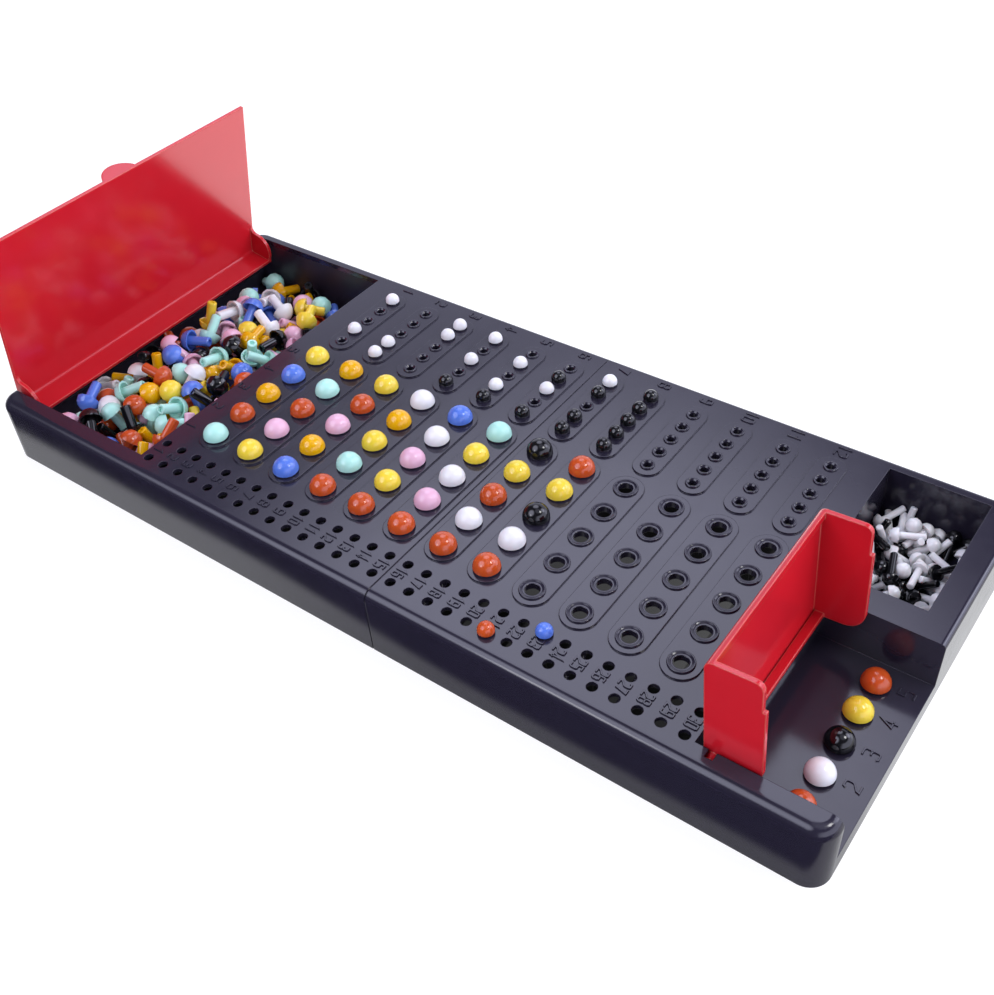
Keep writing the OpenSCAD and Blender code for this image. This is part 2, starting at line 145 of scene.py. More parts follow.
def copies(shape, places, turns=None):
    """The shape once at every place, each turned first by its own 3 by 3 matrix."""
    points, quads, tris = shape
    places = np.atleast_2d(np.asarray(places, float))
    count = len(places)
    if turns is None:
        turns = np.broadcast_to(np.eye(3), (count, 3, 3))
    moved = np.einsum("nij,vj->nvi", turns, points) + places[:, None, :]
    shift = (np.arange(count) * len(points))[:, None, None]
    return (
        moved.reshape(-1, 3),
        (quads[None] + shift).reshape(-1, 4),
        (tris[None] + shift).reshape(-1, 3),
    )


def joined(shapes):
    """Several shapes as one."""
    shift = 0
    points, quads, tris = [], [], []
    for p, q, t in shapes:
        points.append(p)
        quads.append(q + shift)
        tris.append(t + shift)
        shift += len(p)
    return np.vstack(points), np.vstack(quads), np.vstack(tris)


def ridge(path, half, height, sunk):
    """Raised stroke along an open flat path: at each point a section across the path, wide at
    the foot and rounded at the top, pushed out along the mitred side direction."""
    path = np.asarray(path, float)
    run = np.diff(path, axis=0)
    run /= np.linalg.norm(run, axis=1)[:, None]
    side = np.column_stack([-run[:, 1], run[:, 0]])
    before = np.vstack([side[:1], side])
    behind = np.vstack([side, side[-1:]])
    mitre = before + behind
    mitre /= (mitre * before).sum(1)[:, None]
    across = np.array([-1.0, -0.92, -0.62, 0.62, 0.92, 1.0]) * half
    up = np.array([-sunk, 0.75 * height, height, height, 0.75 * height, -sunk])
    flat = path[:, None, :] + mitre[:, None, :] * across[None, :, None]
    rings = np.concatenate([flat, np.broadcast_to(up[None, :, None], (*flat.shape[:2], 1))], 2)
    n, m = len(path), len(across)
    i = np.arange(n - 1)[:, None] * m
    j = np.arange(m)[None, :]
    k = (j + 1) % m
    quads = np.stack([i + j, i + m + j, i + m + k, i + k], 2).reshape(-1, 4)
    last = (n - 1) * m
    caps = [[0, 1, 4, 5], [1, 2, 3, 4]]
    ends = [[last + c for c in reversed(cap)] for cap in caps]
    return rings.reshape(-1, 3), np.vstack([quads, caps, ends]), np.zeros((0, 3), int)


def add_piece(name, shape, material, body, replaced=(), crease=40, tone=None):
    """Fills a mesh with the shape, shades it smooth up to the crease angle, gives it its
    material, and lets it ride on its body in place of the replaced nodes."""
    points, quads, tris = shape
    mesh = bpy.data.meshes.new(name)
    mesh.vertices.add(len(points))
    mesh.vertices.foreach_set("co", (points * MM).ravel())
    corners = np.concatenate([quads.ravel(), tris.ravel()]).astype(np.int32)
    sizes = np.concatenate([np.full(len(quads), 4), np.full(len(tris), 3)])
    mesh.loops.add(len(corners))
    mesh.loops.foreach_set("vertex_index", corners)
    mesh.polygons.add(len(sizes))
    mesh.polygons.foreach_set("loop_start", (np.cumsum(sizes) - sizes).astype(np.int32))
    mesh.update(calc_edges=True)
    mesh.polygons.foreach_set("use_smooth", np.ones(len(sizes), bool))
    mesh.set_sharp_from_angle(angle=math.radians(crease))
    if tone is not None:
        layer = mesh.attributes.new("tone", "FLOAT", "POINT")
        layer.data.foreach_set("value", tone.astype(np.float32))
    mesh.materials.append(material)
    piece = bpy.data.objects.new(name, mesh)
    bpy.context.scene.collection.objects.link(piece)
    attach(piece, body)
    if replaced:
        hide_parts(*replaced)
    return piece


# ---- finishes ----


def shade(red, green, blue):
    """Colour given as 0 to 255 display values, as the shader wants it."""
    v = np.array([red, green, blue]) / 255
    linear = np.where(v <= 0.04045, v / 12.92, ((v + 0.055) / 1.055) ** 2.4)
    return (*linear, 1.0)


def node(tree, kind, **sockets):
    """A shader node with its plain input values set by name."""
    made = tree.nodes.new(kind)
    for key, value in sockets.items():
        made.inputs[key.replace("_", " ")].default_value = value
    return made


def faded(tree, value, zero, full):
    """Smooth step of a value that is 0 at zero and 1 at full."""
    step = node(tree, "ShaderNodeMapRange", From_Min=zero, From_Max=full, To_Min=0.0, To_Max=1.0)
    step.interpolation_type = "SMOOTHSTEP"
    tree.links.new(value, step.inputs["Value"])
    return step.outputs["Result"]


def folded(tree, kind, values):
    """One value made from several by one kind of sum, where all but the first may be numbers."""
    total = values[0]
    for value in values[1:]:
        made = tree.nodes.new("ShaderNodeMath")
        made.operation = kind
        tree.links.new(total, made.inputs[0])
        if isinstance(value, float):
            made.inputs[1].default_value = value
        else:
            tree.links.new(value, made.inputs[1])
        total = made.outputs["Value"]
    return total


def added(tree, *values):
    """Sum of shader values."""
    return folded(tree, "ADD", values)


def times(tree, *values):
    """Product of shader values."""
    return folded(tree, "MULTIPLY", values)


def between(tree, value, low, high, fade):
    """1 from low to high, falling to 0 over the length fade on both sides."""
    return times(
        tree, faded(tree, value, low - fade, low), faded(tree, value, high + fade, high)
    )


def moulded(
    name, colour, rough, cloud=0.05, edge=0.0, glow=0.0, toned=False, grain=1.0, wear=1.0, rim=None,
    dull_inside=0.0,
):
    """Moulded plastic: slow clouds in the colour, a fine skin in the surface, patches of finger
    wear in the gloss, and edges eased by the radius edge, in millimetres. Along the eased edges
    and in inner bends the colour is mixed towards the colour rim, a painted highlight. The walls
    inside the peg store are rougher by dull_inside."""
    made = bpy.data.materials.new(name)
    made.use_nodes = True
    tree = made.node_tree
    link = tree.links.new
    surface = tree.nodes["Principled BSDF"]
    surface.inputs["IOR"].default_value = 1.5
    place = tree.nodes.new("ShaderNodeTexCoord").outputs["Object"]

    clouds = node(tree, "ShaderNodeTexNoise", Scale=18.0, Detail=3.0, Roughness=0.6)
    link(place, clouds.inputs["Vector"])
    spread = node(
        tree, "ShaderNodeMapRange",
        From_Min=0.3, From_Max=0.7, To_Min=1 - cloud, To_Max=1 + cloud,
    )
    link(clouds.outputs["Fac"], spread.inputs["Value"])
    level = spread.outputs["Result"]
    if toned:
        tone = tree.nodes.new("ShaderNodeAttribute")
        tone.attribute_name = "tone"
        level = times(tree, level, tone.outputs["Fac"])
    tint = tree.nodes.new("ShaderNodeVectorMath")
    tint.operation = "SCALE"
    tint.inputs[0].default_value = colour[:3]
    link(level, tint.inputs["Scale"])
    flat_colour = tint.outputs["Vector"]

    rubbed = node(tree, "ShaderNodeTexNoise", Scale=70.0, Detail=4.0, Roughness=0.65)
    link(place, rubbed.inputs["Vector"])
    gloss = node(tree, "ShaderNodeMapRange", From_Min=0.35, From_Max=0.7)
    gloss.inputs["To Min"].default_value = rough * (1 - 0.12 * wear)
    gloss.inputs["To Max"].default_value = rough * (1 + 0.25 * wear)
    link(rubbed.outputs["Fac"], gloss.inputs["Value"])
    roughness = gloss.outputs["Result"]
    if dull_inside:
        apart = tree.nodes.new("ShaderNodeSeparateXYZ")
        link(place, apart.inputs["Vector"])
        x, y, z = (apart.outputs[axis] for axis in "XYZ")
        top, end = DECK_TOP - STORE_SKIN, STORE_HIGH[0] + 1.0
        front, back = STORE_WALLS_Y
        inside = times(
            tree,
            faded(tree, z, top * MM, (top - 1.0) * MM),
            faded(tree, x, (end + 0.5) * MM, end * MM),
            between(tree, y, front * MM, back * MM, 1.0 * MM),
        )
        roughness = added(tree, roughness, times(tree, inside, dull_inside))
    link(roughness, surface.inputs["Roughness"])

    skin = node(tree, "ShaderNodeTexNoise", Scale=650.0, Detail=2.0, Roughness=0.5)
    link(place, skin.inputs["Vector"])
    bump = node(tree, "ShaderNodeBump", Strength=0.35, Distance=0.00004 * grain)
    link(skin.outputs["Fac"], bump.inputs["Height"])
    if edge:
        eased = node(tree, "ShaderNodeBevel", Radius=edge * MM)
        eased.samples = 6
        link(eased.outputs["Normal"], bump.inputs["Normal"])
    # Painted highlight: where the eased normal turns away from the surface's own normal, at edges
    # and inner bends, the colour is mixed up to 0.55 of the way towards rim.
    if rim:
        turn = tree.nodes.new("ShaderNodeVectorMath")
        turn.operation = "DOT_PRODUCT"
        link(eased.outputs["Normal"], turn.inputs[0])
        link(tree.nodes.new("ShaderNodeNewGeometry").outputs["Normal"], turn.inputs[1])
        near = node(
            tree, "ShaderNodeMapRange", From_Min=0.985, From_Max=0.80, To_Min=0.0, To_Max=0.55
        )
        link(turn.outputs["Value"], near.inputs["Value"])
        painted_edge_highlight = tree.nodes.new("ShaderNodeMix")
        painted_edge_highlight.data_type = "RGBA"
        link(near.outputs["Result"], painted_edge_highlight.inputs["Factor"])
        colour_a, highlight_colour, colour_out = painted_edge_highlight.inputs[6], painted_edge_highlight.inputs[7], painted_edge_highlight.outputs[2]
        link(flat_colour, colour_a)
        highlight_colour.default_value = rim
        flat_colour = colour_out
    link(flat_colour, surface.inputs["Base Color"])
    link(bump.outputs["Normal"], surface.inputs["Normal"])
    if glow:
        surface.inputs["Subsurface Weight"].default_value = glow
        surface.inputs["Subsurface Radius"].default_value = (1.0, 0.6, 0.5)
        surface.inputs["Subsurface Scale"].default_value = 0.0012
    return made


PEG_SHADES = {
    "teal": shade(172, 224, 210),
    "red": shade(186, 76, 30),
    "orange": shade(220, 164, 6),
    "blue": shade(82, 116, 200),
    "yellow": shade(230, 202, 60),
    "pink": shade(220, 174, 194),
    "white": shade(222, 221, 221),
    "black": shade(14, 14, 16),
}
case_plastic = moulded(
    "case_plastic", shade(36, 33, 45), 0.13, cloud=0.08, edge=0.35, grain=0.3, dull_inside=0.25
)
detail_plastic = moulded("detail_plastic", shade(35, 32, 44), 0.13, cloud=0.08, grain=0.3)
cover_plastic = moulded(
    "cover_plastic", shade(194, 27, 38), 0.15, cloud=0.03, edge=0.8, glow=0.10, grain=0.4, wear=0.4,
    # rim is the colour of a painted highlight along the cover's edges and its inner bend.
    rim=shade(226, 120, 98),
)
peg_plastic = {
    hue: moulded(
        f"peg_plastic_{hue}", PEG_SHADES[hue], 0.07,
        glow=0.0 if hue == "black" else 0.15, toned=True, grain=0.3,
    )
    for hue in COLOURS
}

for name in ("left_tray", "right_tray"):
    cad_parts[name].data.materials[0] = case_plastic
for name in ("peg_store_lid", "code_shield"):
    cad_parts[name].data.materials[0] = cover_plastic


# ---- holes and numbers on the case ----


def code_collars():
    """A raised lip round every code hole, dished inside down to a flat ring at the hole's mouth."""
    profile = [
        (CODE_HOLE_R, -0.5), (CODE_HOLE_R, 0.1), (2.96, 0.2), (3.12, 0.24), (3.4, 0.22),
        (3.6, 0.26), (4.1, 0.5), (4.3, 0.62), (4.45, 0.67), (4.65, 0.68), (4.8, 0.63),
        (4.92, 0.5), (4.97, 0.2), (5.0, -0.3), (3.4, -0.3), (3.1, -0.5),
    ]
    places = [(x, y, PAD_TOP) for x in ROW_X for y in CODE_YS]
    return copies(turned(profile, 28, closed=True), places)


def key_collars():
    """A smaller raised lip round every key hole, dished straight into the hole."""
    profile = [
        (KEY_HOLE_R, -0.5), (KEY_HOLE_R, 0.0), (1.7, 0.14), (2.05, 0.46), (2.2, 0.6), (2.4, 0.66),
        (2.65, 0.65), (2.85, 0.54), (2.96, 0.3), (3.0, -0.3), (2.1, -0.3), (1.8, -0.5),
    ]
    places = [(x, y, PAD_TOP) for x in ROW_X for y in KEY_YS]
    return copies(turned(profile, 20, closed=True), places)


# The strokes of each digit in a unit square, x to the right and y up.
STROKES = {
    "0": [[(0.5, 0), (0.85, 0), (1, 0.12), (1, 0.88), (0.85, 1), (0.15, 1), (0, 0.88), (0, 0.12),
           (0.15, 0), (0.5, 0)]],
    "1": [[(0.2, 0.78), (0.6, 1), (0.6, 0)]],
    "2": [[(0, 0.85), (0.15, 1), (0.85, 1), (1, 0.88), (1, 0.6), (0.9, 0.48), (0.12, 0.2),
           (0, 0), (1, 0)]],
    "3": [[(0, 1), (0.85, 1), (1, 0.88), (1, 0.65), (0.85, 0.53), (0.35, 0.53)],
          [(0.85, 0.53), (1, 0.4), (1, 0.12), (0.85, 0), (0.15, 0), (0, 0.12)]],
    "4": [[(0.7, 0), (0.7, 1), (0, 0.3), (1, 0.3)]],
    "5": [[(0.95, 1), (0.05, 1), (0.05, 0.58), (0.85, 0.58), (1, 0.45), (1, 0.12), (0.85, 0),
           (0, 0)]],
    "6": [[(0.9, 1), (0.15, 1), (0, 0.88), (0, 0.12), (0.15, 0), (0.85, 0), (1, 0.12), (1, 0.42),
           (0.85, 0.55), (0.05, 0.55)]],
    "7": [[(0, 1), (1, 1), (0.4, 0)]],
    "8": [[(0.5, 0.53), (0.15, 0.53), (0, 0.65), (0, 0.88), (0.15, 1), (0.85, 1), (1, 0.88),
           (1, 0.65), (0.85, 0.53), (0.5, 0.53)],
          [(0.15, 0.53), (0, 0.4), (0, 0.12), (0.15, 0), (0.85, 0), (1, 0.12), (1, 0.4),
           (0.85, 0.53)]],
    "9": [[(0.1, 0), (0.85, 0), (1, 0.12), (1, 0.88), (0.85, 1), (0.15, 1), (0, 0.88), (0, 0.58),
           (0.15, 0.45), (0.95, 0.45)]],
}


# Digits: the height in millimetres, and the width as a share of it. The step to the next digit
# is a share of the width.
DIGIT_STEP = 1.45
ROW_DIGITS = (5.0, 0.54)
ONE_SCORE_DIGIT, TWO_SCORE_DIGITS = (4.4, 0.55), (4.4, 0.40)
PLACE_DIGITS = (4.6, 0.58)
SECRET_DIGITS = (5.4, 0.54)
ROW_NUMBER_Y = 78.0
PLACE_NUMBER_X = SEAM_X - 125.4
SECRET_NUMBER_X = SECRET_X + 10.6


def number(value, centre, height, wide, right, up, level, half=0.36, raise_by=0.5):
    """The strokes of a plain number, centred, with its reading direction along right and its
    digits wide times as wide as they are high."""
    digit_w = wide * height
    step = DIGIT_STEP * digit_w
    text = str(value)
    right, up = np.array(right, float), np.array(up, float)
    strokes = []
    for n, digit in enumerate(text):
        across = (n - (len(text) - 1) / 2) * step - digit_w / 2
        for stroke in STROKES[digit]:
            s = np.array(stroke)
            flat = (
                np.array(centre)
                + (across + s[:, :1] * digit_w) * right
                + (s[:, 1:] - 0.5) * height * up
            )
            points, quads, tris = ridge(flat, half, raise_by, sunk=0.1)
            points[:, 2] += level
            strokes.append((points, quads, tris))
    return joined(strokes)


def upright(shape):
    """The same faces turned over if the shape's volume comes out negative."""
    points, quads, tris = shape
    a, b, c, d = (points[quads[:, i]] for i in range(4))
    volume = (np.cross(b - a, c - a) * a).sum() + (np.cross(c - a, d - a) * a).sum()
    return shape if volume > 0 else (points, quads[:, ::-1], tris[:, ::-1])


def numbers(items):
    """Several numbers as one shape: items are (value, centre, height, wide, right, up, level)."""
    return joined([upright(number(*item)) for item in items])


AWAY, TOWARDS = (0, 1), (0, -1)
PLUS_X, MINUS_X = (1, 0), (-1, 0)
row_numbers = numbers(
    [(n + 1, (ROW_X[n], ROW_NUMBER_Y), *ROW_DIGITS, TOWARDS, PLUS_X, DECK_TOP) for n in range(ROWS)]
)
score_number_y = SCORE_Y + SCORE_GAP / 2 + 0.3
score_digits = [ONE_SCORE_DIGIT if n < 9 else TWO_SCORE_DIGITS for n in range(SCORE_PAIRS)]
score_numbers = numbers(
    [
        (n + 1, (SCORE_X[n], score_number_y), *score_digits[n], TOWARDS, PLUS_X, DECK_TOP)
        for n in range(SCORE_PAIRS)
    ]
)
place_numbers = numbers(
    [
        (k + 1, (PLACE_NUMBER_X, CODE_YS[k]), *PLACE_DIGITS, TOWARDS, PLUS_X, DECK_TOP)
        for k in range(ROW_HOLES)
    ]
)
secret_ys = [SECRET_Y + SECRET_PITCH * (k - 2) for k in range(ROW_HOLES)]
secret_numbers = numbers(
    [
        (k + 1, (SECRET_NUMBER_X, secret_ys[k] + 1.5), *SECRET_DIGITS, AWAY, MINUS_X, BAY_FLOOR)
        for k in range(ROW_HOLES)
    ]
)

for name, shape in (
    ("code_hole_collars", code_collars()),
    ("key_hole_collars", key_collars()),
    ("row_numbers", row_numbers),
    ("score_numbers", score_numbers),
    ("place_numbers", place_numbers),
    ("secret_numbers", secret_numbers),
):
    add_piece(name, shape, detail_plastic, "root")


# ---- pegs ----


def dome(radius, steps, base):
    """Quarter circle from the pole down to the rim, as (radius, height) above base."""
    angle = np.linspace(0, math.pi / 2, steps + 1)
    return [(radius * math.sin(a), base + radius * math.cos(a)) for a in angle]


def code_peg(sides, steps):
    """Hollow dome on a stout stem, with a small sink mark in the stem's tip."""
    wall, bevel, sink = 1.0, 0.4, 1.2
    inner = HEAD_R - wall
    outline = [
        *dome(HEAD_R, steps, 0.0), (inner + 0.1, 0.0), (0.8 * inner, 0.6 * inner),
        (STEM_R, 0.72 * inner), (STEM_R, bevel - STEM), (STEM_R - 0.35, -STEM),
        (1.25, -STEM), (1.1, sink - STEM), (0, sink - STEM),
    ]
    return turned(outline, sides)


def key_peg(sides, steps):
    """Small solid dome with a short straight rim on a slim stem."""
    rim, bevel = 0.5, 0.3
    outline = [
        *dome(KEY_HEAD_R, steps, rim), (KEY_HEAD_R, 0.1), (KEY_HEAD_R - 0.15, 0.0),
        (KEY_STEM_R, 0.0), (KEY_STEM_R, bevel - KEY_STEM), (KEY_STEM_R - bevel, -KEY_STEM),
        (0, -KEY_STEM),
    ]
    return turned(outline, sides)


def leaning(count, most, rng):
    """Small random leans off the vertical, as turning matrices."""
    lean = rng.normal(0, most, (count, 2)).clip(-2 * most, 2 * most)
    axis = np.column_stack([lean, np.ones(count)])
    return turns_to(axis / np.linalg.norm(axis, axis=1)[:, None])


def turns_to(axis):
    """Turning matrices that carry +Z to each unit axis."""
    helper = np.where(np.abs(axis[:, :1]) < 0.9, [[1.0, 0, 0]], [[0, 1.0, 0]])
    x = np.cross(helper, axis)
    x /= np.linalg.norm(x, axis=1)[:, None]
    return np.stack([x, np.cross(axis, x), axis], 2)


def standing(node_name, shape, rim_z, hue, rng):
    """Pegs of one colour in their holes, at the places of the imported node's own pegs."""
    seats = SEATS[node_name]
    places = [(x, y, rim_z) for x, y in seats]
    tone = np.repeat(rng.uniform(*SEAT_TONES, len(seats)), len(shape[0]))
    made = copies(shape, places, leaning(len(seats), SEAT_LEAN, rng))
    return add_piece(
        f"{node_name}_pegs", made, peg_plastic[hue], node_name, [node_name], tone=tone
    )


# The pegs that stand on the board, row by row from the peg store, None for an empty hole.
GUESSES = (
    ("teal", "red", "orange", "blue", "yellow"),
    ("yellow", "pink", "red", "teal", "orange"),
    ("blue", "orange", "pink", "red", "yellow"),
    ("red", "teal", "yellow", "orange", "white"),
    ("red", "yellow", "pink", "white", "blue"),
    ("red", "pink", "white", "yellow", "teal"),
    ("red", "white", "red", "yellow", "black"),
    ("red", "white", "black", "yellow", "red"),
)
KEYS = (
    (None, "white", None, None, "white"),
    ("white", "white", None, None, None),
    (None, None, None, "white", "white"),
    ("black", None, "white", None, "white"),
    ("black", "white", None, "white", None),
    ("black", None, "white", "black", None),
    ("black", "black", None, "black", "white"),
    ("black", "black", "black", "black", "black"),
)
SECRET = ("red", "white", "black", "yellow", "red")


def seats_of(hue, rows, ys):
    """Places of the holes that hold one colour, in rows of hues from the left end."""
    return [
        (ROW_X[i], ys[k]) for i, row in enumerate(rows) for k in range(ROW_HOLES) if row[k] == hue
    ]


SEATS = {}
for hue in COLOURS:
    SEATS[f"guess_{hue}"] = seats_of(hue, GUESSES, CODE_YS)
for hue in ("white", "black"):
    SEATS[f"key_{hue}"] = seats_of(hue, KEYS, KEY_YS)
SEATS["score_red"] = [(SCORE_X[20], SCORE_Y)]
SEATS["score_blue"] = [(SCORE_X[22], SCORE_Y + SCORE_GAP)]
for k in range(ROW_HOLES):
    SEATS[f"secret_{k + 1}"] = [(SECRET_X, secret_ys[k])]

rng = np.random.default_rng(12)
fine_code_peg = code_peg(32, 8)
fine_key_peg = key_peg(24, 6)
peg_base = {name: node_box(name)[0][2] for name in SEATS}
for hue in COLOURS:
    standing(f"guess_{hue}", fine_code_peg, peg_base[f"guess_{hue}"] + STEM, hue, rng)
for hue in ("white", "black"):
    standing(f"key_{hue}", fine_key_peg, peg_base[f"key_{hue}"] + KEY_STEM, hue, rng)
standing("score_red", fine_key_peg, peg_base["score_red"] + KEY_STEM, "red", rng)
standing("score_blue", fine_key_peg, peg_base["score_blue"] + KEY_STEM, "blue", rng)
for k, hue in enumerate(SECRET):
    standing(f"secret_{k + 1}", fine_code_peg, peg_base[f"secret_{k + 1}"] + STEM, hue, rng)


# ---- the loose pegs: a heap that settles under its own weight ----


# The heap, in millimetres and seconds: gravity, the time step, the share of its speed that a
# falling and a touching ball keeps, the rounds of pushing in each of the steps, the share of each
# turn that is taken, the pegs in a layer and its height, how far the lowest peg falls, how much
# higher the box is at first, and the corner of the space that the lid's skirt sweeps.
G = 9810.0
TICK = 0.004
AIR = 0.97
GRIP = 0.35
PUSHES = 5
STEPS = 170
EASE = 0.005
PEGS_PER_LAYER = 60
LAYER = 16
FIRST_DROP, DROP = 8, 60
SWEEP_X, SWEEP_Z = LEFT_LOW[0] + 16.8, 13.6


def settle(balls, radii, shares, count, low, high, keep_out, seed):
    """Drops rigid pegs into a box. A peg is a few balls on one axis, at heights balls along it
    and with shares of its weight. Each step moves the pegs under gravity, then pushes
    overlapping balls apart, keeps balls inside the walls, and fits a straight peg through its
    balls again. Touching balls lose most of their speed, and a peg takes only the share EASE of
    each turn it is pushed to, so the heap keeps pegs at all angles. Gives the middles of the
    head rims and the axes."""
    rng = np.random.default_rng(seed)
    balls, radii, shares = (np.array(v, float) for v in (balls, radii, shares))
    heart = (balls * shares).sum()
    offset = balls - heart
    parts = len(balls)
    span = high - low
    layers = math.ceil(count / PEGS_PER_LAYER)
    middle = low + rng.uniform(0.12, 0.88, (count, 3)) * span
    middle[:, 2] = low[2] + FIRST_DROP + rng.uniform(0, LAYER * layers, count)
    axis = rng.normal(size=(count, 3))
    axis /= np.linalg.norm(axis, axis=1)[:, None]
    place = middle[:, None, :] + axis[:, None, :] * offset[None, :, None]
    speed = np.zeros_like(place)
    size = np.tile(radii, count)
    owner = np.repeat(np.arange(count), parts)
    reach = size[:, None] + size[None, :]
    other = owner[:, None] != owner[None, :]
    gravity = np.array([0, 0, -G])
    for step in range(STEPS):
        top = high_walls(high, 1 - step / (0.5 * STEPS))
        speed = (speed + gravity * TICK) * AIR
        moved = place + speed * TICK
        for _ in range(PUSHES):
            p = moved.reshape(-1, 3)
            gap = p[:, None, :] - p[None, :, :]
            far = np.sqrt((gap**2).sum(2)) + 1e-9
            deep = np.where(other, reach - far, 0.0).clip(0, None)
            push = (gap * (deep / far)[:, :, None]).sum(1)
            hits = (deep > 0).sum(1)
            p = p + push / (1 + hits.clip(1, None))[:, None]
            p = np.minimum(np.maximum(p, low + size[:, None]), top - size[:, None])
            p = keep_out(p, size)
            moved = p.reshape(count, parts, 3)
            middle = (moved * shares[None, :, None]).sum(1)
            pushed = (moved * (shares * offset)[None, :, None]).sum(1)
            pushed /= np.linalg.norm(pushed, axis=1)[:, None]
            axis = axis + (pushed - axis) * EASE
            axis /= np.linalg.norm(axis, axis=1)[:, None]
            moved = middle[:, None, :] + axis[:, None, :] * offset[None, :, None]
        grip = np.where(hits > 0, GRIP, 1.0).reshape(count, parts, 1)
        speed = (moved - place) / TICK * grip
        place = moved
    return middle - axis * heart, axis


def high_walls(high, early):
    """The box's far corner, with its top well above the box while the pegs fall in."""
    return np.array([high[0], high[1], high[2] + DROP * max(0, early)])


def under_lid(p, size):
    """Keeps balls out of the space that the lid's skirt sweeps at the end wall."""
    over = p[:, 2] + size - SWEEP_Z
    aside = SWEEP_X - (p[:, 0] - size)
    inside = (aside > 0) & (over > 0)
    down = inside & (over < aside)
    out = inside & ~down
    p = p.copy()
    p[down, 2] -= over[down]
    p[out, 0] += aside[out]
    return p


def anywhere(p, size):
    """No space to keep out of."""
    return p


def heap(nodes, shape, peg, box, seed):
    """Fills a store with a settled heap, one piece for each colour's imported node."""
    counts = [LOOSE_COUNTS[name] for name in nodes]
    middle, axis = settle(*peg, sum(counts), *box, seed)
    rng = np.random.default_rng(seed + 1)
    order = rng.permutation(sum(counts))
    turns = turns_to(axis)
    start = 0
    for name, amount in zip(nodes, counts):
        mine = order[start : start + amount]
        start += amount
        hue = name.split("_")[-1]
        # These tones are partly random and partly painted light against the shade in the store.
        tone = np.repeat(rng.uniform(*LOOSE_TONES_AND_PAINTED_LIGHT, amount), len(shape[0]))
        made = copies(shape, middle[mine], turns[mine])
        add_piece(f"{name}_heap", made, peg_plastic[hue], "root", [name], tone=tone)


LOOSE_COUNTS = {
    "loose_teal": 26, "loose_red": 19, "loose_orange": 21, "loose_blue": 23,
    "loose_yellow": 12, "loose_pink": 23, "loose_white": 15, "loose_black": 23,
    "loose_key_white": 37, "loose_key_black": 23,
}
# A peg for the heap: the heights of its balls from the rim, their radii and shares of its weight.
CODE_BALLS = ((0.4, -4.6, STEM_R - STEM), (4.9, STEM_R, STEM_R), (0.62, 0.25, 0.13))
KEY_BALLS = (
    (0.5, -3.6, -6.2, KEY_STEM_R - KEY_STEM),
    (KEY_HEAD_R, KEY_STEM_R, KEY_STEM_R, KEY_STEM_R),
    (0.55, 0.15, 0.15, 0.15),
)
heap(
    [f"loose_{hue}" for hue in COLOURS], code_peg(12, 4), CODE_BALLS,
    (STORE_LOW, STORE_HIGH, under_lid), 21,
)
heap(
    ["loose_key_white", "loose_key_black"], key_peg(12, 3), KEY_BALLS,
    (WELL_LOW, WELL_HIGH, anywhere), 33,
)


# ---- floor, light and camera ----


def along(tree, way, azimuth, elevation):
    """Cosine between a direction and the one at the given azimuth and elevation, in degrees."""
    a, e = math.radians(azimuth), math.radians(elevation)
    dot = tree.nodes.new("ShaderNodeVectorMath")
    dot.operation = "DOT_PRODUCT"
    dot.inputs[1].default_value = (
        math.cos(a) * math.cos(e), math.sin(a) * math.cos(e), math.sin(e),
    )
    tree.links.new(way, dot.inputs[0])
    return dot.outputs["Value"]


# Pale walls: azimuth in degrees, cosines from it where they start and are full, and the level.
# Their tops fade between two cosines from straight up.
WALLS = ((100, 0.42, 0.66, 0.95), (5, 0.30, 0.70, 1.8))
WALL_TOP, WALL_FULL = 0.66, 0.52
# Soft panels: azimuth and elevation of the middle, angle out to the edge and to the full level,
# in degrees, and the level.
PANELS = (
    (125, 56, 22, 11, 3.0),
    (10, 74, 26, 14, 0.7),
    (50, 38, 17, 9, 3.4),
    (-122, 47, 30, 12, 3.5),
)
ROOM_LEVEL = 0.10


def new_world():
    """White where the camera looks past the object. To the object: a dim room, pale low walls
    behind it and to its right, broad soft panels behind it, overhead and at its front left, and
    a small one at its back right."""
    world = bpy.data.worlds.new("studio")
    bpy.context.scene.world = world
    world.use_nodes = True
    tree = world.node_tree
    link = tree.links.new
    out = tree.nodes["World Output"]
    room = tree.nodes["Background"]
    white = node(tree, "ShaderNodeBackground", Color=(1, 1, 1, 1), Strength=1.0)
    way = tree.nodes.new("ShaderNodeTexCoord").outputs["Generated"]
    low = faded(tree, along(tree, way, 0, 90), WALL_TOP, WALL_FULL)
    walls = [
        times(tree, faded(tree, along(tree, way, azimuth, 0), start, full), strength)
        for azimuth, start, full, strength in WALLS
    ]
    panels = []
    for azimuth, elevation, outer, inner, strength in PANELS:
        edge, full = (math.cos(math.radians(angle)) for angle in (outer, inner))
        panel = faded(tree, along(tree, way, azimuth, elevation), edge, full)
        panels.append(times(tree, panel, strength))
    level = added(tree, times(tree, low, added(tree, *walls)), *panels, ROOM_LEVEL)
    room.inputs["Color"].default_value = (0.94, 0.96, 1.20, 1)
    link(level, room.inputs["Strength"])
    seen = tree.nodes.new("ShaderNodeLightPath").outputs["Is Camera Ray"]
    choice = tree.nodes.new("ShaderNodeMixShader")
    link(seen, choice.inputs["Fac"])
    link(room.outputs["Background"], choice.inputs[1])
    link(white.outputs["Background"], choice.inputs[2])
    link(choice.outputs["Shader"], out.inputs["Surface"])


# The floor's regions, in metres: half the size of the painted shade under the case and how far
#  it fades out; the line in front of the case where reflections of the floor begin, and how much
#  further out it lies at the left end; and the strip behind the case where they are strongest.
UNDER_X, UNDER_Y, UNDER_FADE = 0.190, 0.077, 0.004
LIT_Y, LIT_SHIFT = (-0.0905, -0.0865), 0.0045
GLARE_X, GLARE_Y = (0.10, -0.02), (0.094, 0.116)


